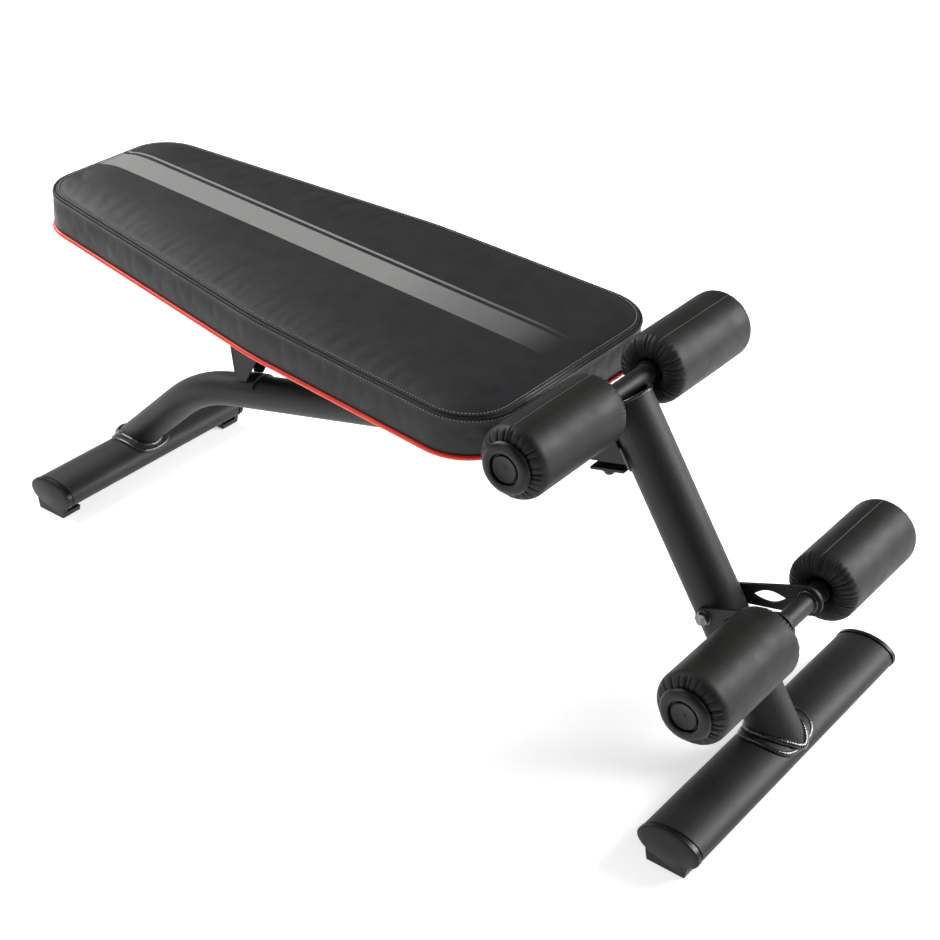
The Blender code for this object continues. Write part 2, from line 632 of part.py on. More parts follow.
# ---- padded board ------------------------------------------------------------------------------------
def rounded_outline(corners, inset=0.0, arc_steps=7):
    """Outline of (X, along) points mirrored about X = 0, with an arc at every corner."""
    loop = [Vector((x, s)) for x, s, _ in corners] + [Vector((-x, s)) for x, s, _ in reversed(corners)]
    radii = [r for _, _, r in corners] + [r for _, _, r in reversed(corners)]
    points = []
    for i, corner in enumerate(loop):
        before = (loop[i - 1] - corner).normalized()
        after = (loop[(i + 1) % len(loop)] - corner).normalized()
        half = before.angle(after) / 2
        bisector = (before + after).normalized()
        radius = max(radii[i] - inset, 0.004)
        centre = corner + bisector * (radii[i] / math.sin(half))
        reach = radii[i] / math.tan(half)
        start = corner + before * reach - centre
        end = corner + after * reach - centre
        for k in range(arc_steps + 1):
            mix = start.slerp(end, k / arc_steps)
            points.append(centre + mix.normalized() * radius)
    return [(p.x, p.y) for p in points]


def pad_ring(inset, height):
    return [pad_point(s) + X_AXIS * x + PAD_UP * height for x, s in rounded_outline(PAD_CORNERS, inset)]


def pad_cushion():
    """Plain foam block with a softly crowned top; upholstery follows this envelope."""
    layers = ((0.0010, -PAD_WALL), (0.0, -PAD_WALL + 0.004), (0.0, -0.004), (0.0012, 0.0),
              (0.0100, 0.0040), (0.0400, PAD_CROWN))
    rings = [pad_ring(inset, height) for inset, height in layers]
    add_object("pad_cushion", loft(rings), "vinyl", PAD_POINT)


def pad_piping():
    """Round cord sewn round the lower edge of the cover."""
    path = pad_ring(0.0015, -PAD_WALL - GAP - PIPING_RADIUS)
    rings = []
    for i, point in enumerate(path):
        heading = (path[(i + 1) % len(path)] - path[i - 1]).normalized()
        rings.append(circle(point, heading.cross(PAD_UP).normalized(), PAD_UP, PIPING_RADIUS, 8))
    add_object("pad_piping", loft(rings, closed=True), "piping", PAD_POINT)


def pad_board():
    outline = rounded_outline(PAD_CORNERS, 0.0085)
    board = add_object("pad_board", slab(outline, PAD_POINT, PAD_ALONG, PAD_UP, BOARD_BOTTOM, BOARD_TOP),
                       "plywood", PAD_POINT)
    bolts = [item for item in bpy.data.objects if "_plate_bolt_" in item.name]
    for item in bolts:
        hole = BOLT_RADIUS + GAP
        drill = solid_round(item.location, PAD_UP, ((hole, -0.10), (hole, BOARD_TOP - 0.0015)), 20)
        cut(board, add_object(item.name + "_board_hole", drill, None, cutter=True))


# ---- assembly -----------------------------------------------------------------------------------
def build_stabilizers():
    layout = (("front", FRONT_Y, FRONT_HALF_LENGTH, FRONT_SADDLE_HALF_X),
              ("rear", REAR_Y, REAR_HALF_LENGTH, REAR_SADDLE_HALF_X))
    for label, y, half, saddle in layout:
        stabilizer_tube(label + "_stabilizer_tube", y, half)
        foot_cap(label + "_foot_cap_left", y, half, -1)
        foot_cap(label + "_foot_cap_right", y, half, 1)
        saddle_plate(label + "_saddle_plate", y, saddle, SADDLE_HALF_ANGLE)


def build_front_leg():
    upright_tube()
    fold_cheek("fold_cheek_left", -1)
    fold_cheek("fold_cheek_right", 1)
    fold_floor_plate()
    pull_pin()
    grip = UPRIGHT_RADIUS + LINK_THICKNESS + 0.0022
    lower_link("lower_link_left", -1)
    lower_link("lower_link_right", 1)
    cross_bolt("lower_link_bolt", LOWER_BOLT, 0.005, grip)
    washer("lower_link_washer_left", LOWER_BOLT, 0.005, -(grip - 0.0017), -1)
    washer("lower_link_washer_right", LOWER_BOLT, 0.005, grip - 0.0017, 1)
    hex_nut("lower_link_nut", LOWER_BOLT, 0.005, grip, 1)


def build_rollers():
    for level, centre in (("upper", UPPER_BAR), ("lower", LOWER_BAR_CENTRE)):
        roller_bar(level, centre)
        roller_set(level, "left", centre, -1)
        roller_set(level, "right", centre, 1)


def build_main_frame():
    main_tube()
    sleeve_end = math.sqrt((TUBE_RADIUS - TUBE_WALL) ** 2 - 0.010 ** 2) - 2 * GAP
    r = PIVOT_BOLT_RADIUS
    loop = ((r + GAP, -sleeve_end), (0.010, -sleeve_end), (0.010, sleeve_end), (r + GAP, sleeve_end))
    add_object("pivot_sleeve", hollow_round(PIVOT_POINT, X_AXIS, loop, 28), "zinc_steel", PIVOT_POINT)
    grip = CHEEK_INNER_X + CHEEK_THICKNESS + GAP
    cross_bolt("pivot_bolt", PIVOT_POINT, r, grip)
    hex_nut("pivot_nut", PIVOT_POINT, r, grip, 1)
    rear_mount()
    front_mount()


def build_pad():
    pad_cushion()
    pad_piping()
    pad_board()


def build():
    clear_scene()
    build_stabilizers()
    build_front_leg()
    build_rollers()
    build_main_frame()
    build_pad()


build()
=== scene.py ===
"""Looks of the decline sit-up bench: upholstery, rollers, welds, finishes and studio.

Metres, +Z up, X across the bench and -Y at the roller end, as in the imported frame.
Every piece made here rides on a body of the frame; no part of the frame is moved.
"""
import json
import math
import random

import bmesh
import bpy
from mathutils import Matrix, Vector, noise

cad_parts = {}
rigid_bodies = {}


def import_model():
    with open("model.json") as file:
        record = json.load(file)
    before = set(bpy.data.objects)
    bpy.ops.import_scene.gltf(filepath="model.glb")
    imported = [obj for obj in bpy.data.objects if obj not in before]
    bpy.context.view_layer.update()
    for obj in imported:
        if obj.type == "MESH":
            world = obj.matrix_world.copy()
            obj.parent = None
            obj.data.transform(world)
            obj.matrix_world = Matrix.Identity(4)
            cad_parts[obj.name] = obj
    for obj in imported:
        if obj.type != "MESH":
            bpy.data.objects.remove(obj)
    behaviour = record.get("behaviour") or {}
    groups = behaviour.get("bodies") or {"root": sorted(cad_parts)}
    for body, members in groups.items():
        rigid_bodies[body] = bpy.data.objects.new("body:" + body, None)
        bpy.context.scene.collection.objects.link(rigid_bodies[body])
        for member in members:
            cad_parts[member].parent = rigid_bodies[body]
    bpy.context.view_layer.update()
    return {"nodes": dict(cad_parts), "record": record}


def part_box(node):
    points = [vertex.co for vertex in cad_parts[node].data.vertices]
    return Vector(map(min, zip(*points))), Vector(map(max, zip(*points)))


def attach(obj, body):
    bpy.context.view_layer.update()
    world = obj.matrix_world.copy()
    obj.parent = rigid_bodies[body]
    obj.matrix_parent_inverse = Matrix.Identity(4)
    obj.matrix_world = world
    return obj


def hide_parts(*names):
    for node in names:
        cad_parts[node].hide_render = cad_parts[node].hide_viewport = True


for leftover in list(bpy.data.objects):
    bpy.data.objects.remove(leftover, do_unlink=True)
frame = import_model()

X_AXIS = Vector((1, 0, 0))
Y_AXIS = Vector((0, 1, 0))
Z_AXIS = Vector((0, 0, 1))
MM = 0.001


# ---- places worked out from the frame -----------------------------------------------------------
def middle(node):
    low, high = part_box(node)
    return (low + high) / 2


def direction(angle):
    """Unit vector in the YZ plane, at an angle in degrees above +Y."""
    a = math.radians(angle)
    return Vector((0, math.cos(a), math.sin(a)))


PAD_TILT = 3.76
PAD_ALONG = direction(PAD_TILT)
PAD_UP = direction(PAD_TILT + 90)
PAD_CORNERS = (                  # half width, distance along, corner radius
    (0.205, -0.0085, 0.072), (0.190, 0.360, 0.500), (0.124, 0.838, 0.065))
PAD_WALL = 0.054                 # height of the side wall under the seam plane
PAD_CROWN = 0.007                # top of the cushion node over the seam plane
PIPING_RADIUS = 0.0032
cushion_points = [v.co for v in frame["nodes"]["pad_cushion"].data.vertices]
PAD_ORIGIN = (PAD_ALONG * (min(p.dot(PAD_ALONG) for p in cushion_points) - PAD_CORNERS[0][1])
              + PAD_UP * (max(p.dot(PAD_UP) for p in cushion_points) - PAD_CROWN))

UPPER_BAR = middle("upper_roller_bar")
LOWER_BAR = middle("lower_roller_bar")
BAR_RADIUS = (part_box("upper_roller_bar")[1].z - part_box("upper_roller_bar")[0].z) / 2
UPRIGHT_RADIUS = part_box("upright_tube")[1].x
TUBE_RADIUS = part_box("main_tube")[1].x
LEG_LEAN = 32.9                  # degrees from upright
UP_LEG = direction(90 - LEG_LEAN)
BEHIND_LEG = direction(-LEG_LEAN)
TUBE_STEEP = 43.60               # degrees the main tube falls at its rear end
TUBE_CORNER = Vector((0, 0.4290, 0.1926))
STEEP_BACK = direction(-TUBE_STEEP)
STEEP_UP = direction(90 - TUBE_STEEP)


# ---- node materials -----------------------------------------------------------------------------
class Look:
    """One material: a Principled shader with procedural layers on object coordinates."""

    def __init__(self, name, colour, roughness, metallic=0.0, **sockets):
        self.material = bpy.data.materials.new(name)
        self.material.use_nodes = True
        self.tree = self.material.node_tree
        self.shader = self.tree.nodes["Principled BSDF"]
        self.shader.inputs["Base Color"].default_value = (*colour, 1)
        self.shader.inputs["Roughness"].default_value = roughness
        self.shader.inputs["Metallic"].default_value = metallic
        for socket, value in sockets.items():
            self.shader.inputs[socket.replace("_", " ")].default_value = value
        self.place = self.node("ShaderNodeTexCoord").outputs["Object"]

    def node(self, kind, settings=None, **inputs):
        made = self.tree.nodes.new(kind)
        for key, value in (settings or {}).items():
            setattr(made, key, value)
        for key, value in inputs.items():
            socket = made.inputs[int(key[1:])] if key[1:].isdigit() else made.inputs[key.replace("_", " ")]
            if isinstance(value, bpy.types.NodeSocket):
                self.tree.links.new(value, socket)
            else:
                socket.default_value = value
        return made

    def stretched(self, scale):
        return self.node("ShaderNodeMapping", Vector=self.place, Scale=scale).outputs[0]

    def noise(self, scale, detail=2.0, roughness=0.5, place=None, distortion=0.0):
        made = self.node("ShaderNodeTexNoise", Vector=place or self.place, Scale=scale, Detail=detail,
                         Roughness=roughness, Distortion=distortion)
        return made.outputs["Fac"]

    def cells(self, scale, feature="F1", place=None):
        made = self.node("ShaderNodeTexVoronoi", {"feature": feature}, Vector=place or self.place,
                         Scale=scale)
        return made.outputs["Distance"]

    def range(self, value, low, high, to_low=0.0, to_high=1.0):
        made = self.node("ShaderNodeMapRange", Value=value, From_Min=low, From_Max=high,
                         To_Min=to_low, To_Max=to_high)
        return made.outputs[0]

    def math(self, operation, a, b=0.0):
        return self.node("ShaderNodeMath", {"operation": operation}, _0=a, _1=b).outputs[0]

    def strip(self, across, middle_x, half):
        """1 within half of middle_x, else 0."""
        off = self.math("ABSOLUTE", self.math("SUBTRACT", across, middle_x))
        return self.math("LESS_THAN", off, half)

    def mix(self, fac, a, b):
        a = a if isinstance(a, bpy.types.NodeSocket) else (*a, 1)
        b = b if isinstance(b, bpy.types.NodeSocket) else (*b, 1)
        made = self.node("ShaderNodeMix", {"data_type": "RGBA"}, _0=fac, _6=a, _7=b)
        return made.outputs[2]

    def colour(self, socket):
        self.tree.links.new(socket, self.shader.inputs["Base Color"])

    def roughness(self, socket):
        self.tree.links.new(socket, self.shader.inputs["Roughness"])

    def bump(self, *layers):
        """Stack bump layers of (height, strength, depth in metres)."""
        normal = None
        for height, strength, depth in layers:
            made = self.node("ShaderNodeBump", Strength=strength, Distance=depth, Height=height)
            if normal:
                self.tree.links.new(normal, made.inputs["Normal"])
            normal = made.outputs[0]
        self.tree.links.new(normal, self.shader.inputs["Normal"])


def powder_coat():
    look = Look("powder_coat_black", (0.008, 0.008, 0.0078), 0.52, 0.0, Specular_IOR_Level=0.40)
    speckle = look.noise(620, 3, 0.65)
    clouds = look.noise(14, 2)
    look.colour(look.mix(look.range(clouds, 0.35, 0.65), (0.006, 0.006, 0.0060),
                         (0.0120, 0.0122, 0.0110)))
    look.roughness(look.range(speckle, 0.3, 0.7, 0.42, 0.60))
    look.bump((speckle, 0.75, 0.00045), (look.cells(900), 0.25, 0.00016))
    return look.material


def weld_metal():
    look = Look("painted_weld", (0.012, 0.012, 0.013), 0.22, 0.35, Coat_Weight=0.6, Coat_Roughness=0.10)
    lumps = look.noise(420, 3, 0.6)
    look.colour(look.mix(look.range(lumps, 0.35, 0.7), (0.008, 0.008, 0.009), (0.050, 0.049, 0.047)))
    look.roughness(look.range(lumps, 0.3, 0.7, 0.12, 0.30))
    look.bump((lumps, 0.5, 0.0006))
    return look.material


def zinc_steel():
    look = Look("dark_zinc", (0.20, 0.20, 0.195), 0.32, 1.0)
    brushed = look.noise(300, 4, 0.6, look.stretched((0.15, 1, 1)))
    patches = look.noise(90, 2)
    look.colour(look.mix(look.range(patches, 0.35, 0.7), (0.13, 0.13, 0.125), (0.30, 0.295, 0.28)))
    look.roughness(look.range(brushed, 0.3, 0.7, 0.24, 0.42))
    look.bump((brushed, 0.12, 0.0002))
    return look.material


def moulded_plastic():
    look = Look("satin_moulded_plastic", (0.005, 0.005, 0.006), 0.42, Specular_IOR_Level=0.30)
    grain = look.noise(1700, 2, 0.5)
    flow = look.noise(26, 3, 0.55, look.stretched((1, 2.4, 1)))
    look.colour(look.mix(look.range(flow, 0.3, 0.7), (0.0040, 0.0041, 0.0048), (0.0070, 0.0070, 0.0082)))
    look.roughness(look.range(flow, 0.3, 0.7, 0.31, 0.44))
    look.bump((grain, 0.22, 0.00012))
    return look.material


def leather_grain(look, scale):
    """Irregular pebbles with fine creases between them, as embossed vinyl has."""
    warp = look.node("ShaderNodeVectorMath", {"operation": "MULTIPLY_ADD"}, _0=look.node(
        "ShaderNodeTexNoise", Vector=look.place, Scale=scale * 0.6, Detail=2.0).outputs["Color"],
        _1=(0.9 / scale,) * 3, _2=look.place).outputs[0]
    pebbles = look.cells(scale, "DISTANCE_TO_EDGE", warp)
    return look.range(pebbles, 0.0, 0.22)


def pad_vinyl(name, panel):
    """Grained black vinyl; the top panel carries one broad grey printed band and a thin line."""
    look = Look(name, (0.018, 0.018, 0.019), 0.50, Specular_IOR_Level=0.34)
    blotch = look.noise(7, 3, 0.55)
    tint = look.noise(17, 2, 0.5)
    grain = leather_grain(look, 780)
    dark = look.mix(look.range(tint, 0.4, 0.62), (0.0125, 0.0130, 0.0115), (0.0125, 0.0125, 0.0155))
    black = look.mix(look.range(blotch, 0.3, 0.7), dark, (0.0165, 0.0165, 0.0172))
    # painted shade: the creases between the grain's pebbles are darkened towards near black
    black = look.mix(look.range(grain, 0.0, 0.6, 0.35, 0.0), black, (0.006, 0.006, 0.006))
    if panel:
        split = look.node("ShaderNodeSeparateXYZ", _0=look.place)
        across, along = split.outputs[0], split.outputs[1]
        band = look.strip(across, BAND_X, BAND_HALF)
        line = look.strip(across, LINE_X, LINE_HALF)
        print_mask = look.math("MAXIMUM", band, line)
        foot = pad_point(0, 0, 0).y
        fade = look.range(along, foot + BAND_FADE[0], foot + BAND_FADE[1], 0.0, 1.0)
        ink = look.mix(fade, (0.030, 0.030, 0.030), (0.255, 0.255, 0.250))
        ink = look.mix(look.range(look.noise(900, 2), 0.35, 0.7, 0.0, 0.35), ink, (0.09, 0.09, 0.09))
        start = look.range(along, foot + BAND_START[0], foot + BAND_START[1])
        black = look.mix(look.math("MULTIPLY", print_mask, start), black, ink)
    look.colour(black)
    look.roughness(look.range(look.noise(33, 3), 0.3, 0.7, 0.44, 0.56))
    look.bump((grain, 0.22, 0.00022), (look.noise(60, 3), 0.10, 0.0012))
    return look.material


def roller_vinyl():
    look = Look("roller_vinyl_black", (0.010, 0.010, 0.009), 0.52, Specular_IOR_Level=0.30)
    grain = leather_grain(look, 1100)
    clouds = look.noise(30, 3)
    look.colour(look.mix(look.range(clouds, 0.3, 0.7), (0.0080, 0.0084, 0.0072), (0.0130, 0.0134, 0.0116)))
    look.roughness(look.range(look.noise(45, 3), 0.3, 0.7, 0.47, 0.58))
    look.bump((grain, 0.20, 0.00020), (look.noise(90, 2, 0.5), 0.07, 0.0007))
    return look.material


def red_vinyl():
    look = Look("red_piping_vinyl", (0.93, 0.035, 0.010), 0.33, Coat_Weight=0.15, Coat_Roughness=0.25)
    clouds = look.noise(40, 2)
    look.colour(look.mix(look.range(clouds, 0.3, 0.7), (0.86, 0.026, 0.008), (0.98, 0.050, 0.014)))
    look.roughness(look.range(look.noise(300, 2), 0.3, 0.7, 0.28, 0.40))
    look.bump((look.noise(500, 3), 0.25, 0.0003))
    return look.material


def backing_cloth():
    look = Look("black_backing_cloth", (0.014, 0.013, 0.013), 0.85, Sheen_Weight=0.15,
                Sheen_Roughness=0.6)
    fibres = look.noise(900, 5, 0.75, distortion=1.5)
    emboss = look.cells(330)
    look.colour(look.mix(look.range(fibres, 0.35, 0.7), (0.009, 0.009, 0.009), (0.030, 0.029, 0.028)))
    look.roughness(look.range(fibres, 0.3, 0.7, 0.75, 0.92))
    look.bump((fibres, 0.5, 0.0004), (emboss, 0.4, 0.0004))
    return look.material


def thread(name, colour):
    look = Look(name, colour, 0.55, Sheen_Weight=0.3, Sheen_Roughness=0.4)
    twist = look.noise(2600, 2)
    look.colour(look.mix(look.range(twist, 0.3, 0.7), tuple(c * 0.6 for c in colour), colour))
    look.bump((twist, 0.6, 0.0003))
    return look.material


def plain_floor():
    look = Look("studio_floor", (0.86, 0.86, 0.86), 0.65, Emission_Color=(1, 1, 1, 1),
                Emission_Strength=0.55)
    haze = look.noise(3, 2)
    look.colour(look.mix(look.range(haze, 0.3, 0.7), (0.85, 0.85, 0.85), (0.87, 0.87, 0.87)))
    return look.material


# ---- mesh kit -------------------------------------------------------------------------------------
def make_piece(name, bm, looks, body, replaced=(), sharp=38, ride=True):
    """Turn a bmesh in the frame's metres into a smooth-shaded piece that rides on a body."""
    bmesh.ops.recalc_face_normals(bm, faces=bm.faces)
    mesh = bpy.data.meshes.new(name)
    bm.to_mesh(mesh)
    bm.free()
    made = bpy.data.objects.new(name, mesh)
    bpy.context.scene.collection.objects.link(made)
    for look in looks if isinstance(looks, (list, tuple)) else [looks]:
        mesh.materials.append(look)
    mesh.shade_smooth()
    mesh.set_sharp_from_angle(angle=math.radians(sharp))
    if ride:
        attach(made, body)
        if replaced:
            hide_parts(*replaced)
    return made


def loft(bm, rings, closed=False, caps=False):
    """Bridge equal rings of points and return the rows of vertices."""
    rows = [[bm.verts.new(p) for p in ring] for ring in rings]
    pairs = list(zip(rows, rows[1:]))
    if closed:
        pairs.append((rows[-1], rows[0]))
    count = len(rings[0])
    for a, b in pairs:
        for i in range(count):
            j = (i + 1) % count
            bm.faces.new((a[i], a[j], b[j], b[i]))
    if caps:
        bm.faces.new(rows[0])
        bm.faces.new(list(reversed(rows[-1])))
    return rows


def circle(centre, side, up, radius, count):
    turn = [2 * math.pi * i / count for i in range(count)]
    return [centre + side * (radius * math.cos(a)) + up * (radius * math.sin(a)) for a in turn]


def lathe(centre, axis, profile, count=96):
    """Rings round an axis from (radius, distance along the axis) pairs."""
    side = Y_AXIS if abs(axis.x) > 0.5 else X_AXIS
    up = axis.cross(side).normalized()
    return [circle(centre + axis * along, side, up, radius, count) for radius, along in profile]


def path_frames(path, closed, hint):
    """(point, across, up) at each point of a path, with `up` as near as possible to the hint."""
    frames = []
    last = len(path) - 1
    for i, point in enumerate(path):
        after = path[(i + 1) % len(path)] if closed else path[min(i + 1, last)]
        before = path[i - 1] if closed else path[max(i - 1, 0)]
        heading = (after - before).normalized()
        wanted = hint(point) if callable(hint) else hint
        across = heading.cross(wanted).normalized()
        frames.append((point, across, across.cross(heading).normalized()))
    return frames


def resample(path, spacing, closed=True):
    """Points at an even spacing along a polyline."""
    points = list(path) + ([path[0]] if closed else [])
    lengths = [(b - a).length for a, b in zip(points, points[1:])]
    total = sum(lengths)
    count = max(4, round(total / spacing))
    step = total / count
    found = []
    leg, walked = 0, 0.0
    for k in range(count if closed else count + 1):
        target = min(step * k, total - 1e-9)
        while walked + lengths[leg] < target:
            walked += lengths[leg]
            leg += 1
        found.append(points[leg].lerp(points[leg + 1], (target - walked) / lengths[leg]))
    return found


def dress(node, look, bevel=0.0005, sharp=50):
    """Give a CAD node its finish, softly broken edges and smooth round faces."""
    item = frame["nodes"][node]
    mesh = item.data
    if "custom_normal" in mesh.attributes:
        mesh.attributes.remove(mesh.attributes["custom_normal"])
    mesh.materials.clear()
    mesh.materials.append(look)
    mesh.shade_smooth()
    weld = item.modifiers.new("weld", "WELD")
    weld.merge_threshold = 0.00001
    if bevel:
        edge = item.modifiers.new("broken_edges", "BEVEL")
        edge.width = bevel
        edge.segments = 2
        edge.limit_method = "ANGLE"
        edge.angle_limit = math.radians(40)
        edge.harden_normals = True
    split = item.modifiers.new("sharp_edges", "EDGE_SPLIT")
    split.split_angle = math.radians(sharp)
    split.use_edge_sharp = False


# ---- padded board -----------------------------------------------------------------------------------
PAD_SPACING = 0.0055             # distance between the cover's columns of vertices
PAD_SPINE = (0.15, 0.74)         # the top panel's rows close on this stretch of the long axis
PAD_HEM = ((0.0060, 0.0), (0.0022, 0.0), (0.0011, 0.001))    # inset, height over the wall's foot
WALL_FOOT = 0.004                # height of the hem's end over the wall's foot
WALL_ROWS = 7
CROWN_ROWS = 22
SEAM_SPLIT = 6                   # seam rows that still belong to the side wall
SWELL_FRAMES = 20
CROWN = 0.0050                   # height of the top panel's middle over the seam plane
SEAM_PROFILE = (                 # inset from the outline, height above the seam plane
    (0.0002, -0.0088), (-0.0004, -0.0062), (-0.0006, -0.0040), (0.0000, -0.0022),
    (0.0010, -0.0010), (0.0022, -0.0006), (0.0032, -0.0040), (0.0042, -0.0004),
    (0.0054, 0.0006), (0.0072, 0.0006), (0.0090, -0.0001), (0.0112, 0.0002), (0.0145, 0.0011))
BAND_X = 0.012                   # the grey band and the thin line beside it, across the pad
BAND_HALF = 0.024
LINE_X = 0.046
LINE_HALF = 0.0025
BAND_FADE = (0.02, 0.30)         # the print brightens over this stretch from the foot end
BAND_START = (0.030, 0.090)      # and starts over this one
STITCH_LENGTH = 0.0032
STITCH_GAP = 0.0014
STITCH_RADIUS = 0.00055
STITCH_SINK = 0.0009
STITCH_STEPS = 6                 # samples in one stitch and its gap
STITCH_SHAPE = ((0, 1.0), (1, 0.2), (2, 0.0), (3, 0.2), (4, 1.0))    # sample, share of the sink
STAPLE_SHAPE = (                 # distance along the staple, drop under the board
    (-0.0052, -0.001), (-0.0050, 0.0006), (-0.0042, 0.0009), (0.0, 0.0010),
    (0.0042, 0.0009), (0.0050, 0.0006), (0.0052, -0.001))
STAPLE_INSET = 0.030
STAPLE_SPACING = 0.045


def pad_point(x, s, h):
    return PAD_ORIGIN + X_AXIS * x + PAD_ALONG * s + PAD_UP * h


def rounded_outline(corners, arc_steps=16):
    """Outline of (X, along) points mirrored about X = 0, starting at the middle of the foot edge."""
    loop = [Vector((x, s)) for x, s, _ in corners] + [Vector((-x, s)) for x, s, _ in reversed(corners)]
    radii = [r for _, _, r in corners] + [r for _, _, r in reversed(corners)]
    points = [Vector((0, corners[0][1]))]
    for i, corner in enumerate(loop):
        before = (loop[i - 1] - corner).normalized()
        after = (loop[(i + 1) % len(loop)] - corner).normalized()
        half = before.angle(after) / 2
        centre = corner + (before + after).normalized() * (radii[i] / math.sin(half))
        reach = radii[i] / math.tan(half)
        start = corner + before * reach - centre
        end = corner + after * reach - centre
        for k in range(arc_steps + 1):
            points.append(centre + start.slerp(end, k / arc_steps).normalized() * radii[i])
    return points


class PadOutline:
    """The pad's outline as even points, with a normal at each so that it can be offset inwards."""

    def __init__(self, spacing):
        outline = rounded_outline(PAD_CORNERS)
        self.points = resample(outline, spacing)
        count = len(self.points)
        if count % 2:
            self.points = resample(outline, spacing * count / (count - 1))
        count = len(self.points)
        self.inward = []
        for i in range(count):
            tangent = (self.points[(i + 1) % count] - self.points[i - 1]).normalized()
            self.inward.append(Vector((-tangent.y, tangent.x)))

    def ring(self, inset, height, ease=0.0):
        """Points in the frame; ease draws them on towards the pad's long axis."""
        ring = []
        for p, n in zip(self.points, self.inward):
            q = p + n * inset
            spine = Vector((0, min(max(q.y, PAD_SPINE[0]), PAD_SPINE[1])))
            q = q.lerp(spine, ease)
            ring.append(pad_point(q.x, q.y, height))
        return ring


def swell(cover, free, pressure, slack, cap):
    """Cloth simulation: the free vertices swell under the foam's pressure, by no more than cap."""
    scene = bpy.context.scene
    held = cover.vertex_groups.new(name="held")
    held.add([v.index for v in cover.data.vertices if v.index not in free], 1.0, "REPLACE")
    cloth = cover.modifiers.new("swell", "CLOTH")
    cloth.settings.use_pressure = True
    cloth.settings.uniform_pressure_force = pressure
    cloth.settings.effector_weights.gravity = 0.0
    cloth.settings.vertex_group_mass = held.name
    cloth.settings.shrink_min = -slack
    cloth.settings.tension_stiffness = 25
    cloth.settings.compression_stiffness = 25
    cloth.settings.bending_stiffness = 2.0
    cloth.settings.quality = 6
    cloth.point_cache.frame_end = SWELL_FRAMES
    for step in range(1, SWELL_FRAMES + 1):
        scene.frame_set(step)
    settled = cover.evaluated_get(bpy.context.evaluated_depsgraph_get())
    places = [v.co.copy() for v in settled.data.vertices]
    cover.modifiers.remove(cloth)
    cover.vertex_groups.clear()
    scene.frame_set(1)
    for vertex, place in zip(cover.data.vertices, places):
        move = place - vertex.co
        if move.length > 1e-7:
            vertex.co += move * (cap * math.tanh(move.length / cap) / move.length)


def subdivide(item, levels=1):
    """Apply a subdivision surface to a piece."""
    smooth = item.modifiers.new("smooth", "SUBSURF")
    smooth.levels = levels
    smooth.render_levels = levels
    evaluated = item.evaluated_get(bpy.context.evaluated_depsgraph_get())
    mesh = bpy.data.meshes.new_from_object(evaluated)
    item.modifiers.clear()
    item.data = mesh


def pad_cover(panel, side):
    """Tailored cover: side wall, double-stitched edge seam and crowned top panel over foam."""
    outline = PadOutline(PAD_SPACING)
    wall_top = SEAM_PROFILE[0][1]
    rings = [outline.ring(inset, height - PAD_WALL) for inset, height in PAD_HEM]
    for k in range(WALL_ROWS):
        t = k / WALL_ROWS
        height = -PAD_WALL + WALL_FOOT + (wall_top + PAD_WALL - WALL_FOOT) * t
        rings.append(outline.ring(0.0004 - 0.0004 * math.sin(math.pi * t), height))
    wall_rows = range(len(PAD_HEM) + 1, len(PAD_HEM) + WALL_ROWS)
    split = len(rings) + SEAM_SPLIT
    rings += [outline.ring(inset, height) for inset, height in SEAM_PROFILE]
    first_free = len(rings)
    last_inset, last_height = SEAM_PROFILE[-1]
    for k in range(1, CROWN_ROWS + 1):
        ease = 0.94 * (k / CROWN_ROWS) ** 1.15
        rise = math.sin(min(ease * 1.7, 1) * math.pi / 2)
        rings.append(outline.ring(last_inset, last_height + (CROWN - last_height) * rise, ease))
    bm = bmesh.new()
    rows = loft(bm, rings)
    for row in (rows[0], rows[-1]):
        count = len(row)
        for i in range(count // 2):
            quad = [row[i], row[i + 1], row[(count - i - 1) % count], row[(count - i) % count]]
            bm.faces.new(list(dict.fromkeys(quad)))
    bm.verts.index_update()
    for face in bm.faces:
        heights = [v.index // count for v in face.verts]
        face.material_index = 0 if min(heights) >= split else 1
    free = {v.index for k in list(range(first_free, len(rows))) + list(wall_rows) for v in rows[k]}
    cover = make_piece("pad_cover", bm, [panel, side], "main_frame", sharp=180, ride=False)
    swell(cover, free, pressure=4.0, slack=0.004, cap=0.003)
    subdivide(cover)
    cover.data.shade_smooth()
    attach(cover, "main_frame")
    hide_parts("pad_cushion")


def stitch_row(bm, path, hint):
    """Row of short thread stitches along a closed path, each one dipping into the cover at its ends."""
    fine = resample(path, (STITCH_LENGTH + STITCH_GAP) / STITCH_STEPS)
    frames = path_frames(fine, True, hint)
    count = len(frames)
    for start in range(0, count - STITCH_STEPS, STITCH_STEPS):
        rings = []
        for k, dip in STITCH_SHAPE:
            point, across, up = frames[(start + k) % count]
            r = STITCH_RADIUS * (0.55 if dip == 1.0 else 1.0)
            rings.append(circle(point - up * (STITCH_SINK * dip), across, up, r, 6))
        loft(bm, rings, caps=True)


def pad_stitching(look):
    outline = PadOutline(0.004)
    bm = bmesh.new()
    stitch_row(bm, outline.ring(0.0082, 0.0008), PAD_UP)
    low = outline.ring(-0.0003, -0.0050)
    centre = pad_point(0, 0.4, -0.0050)
    stitch_row(bm, low, lambda p: ((p - centre) - PAD_UP * (p - centre).dot(PAD_UP)).normalized())
    make_piece("pad_stitching", bm, look, "main_frame")


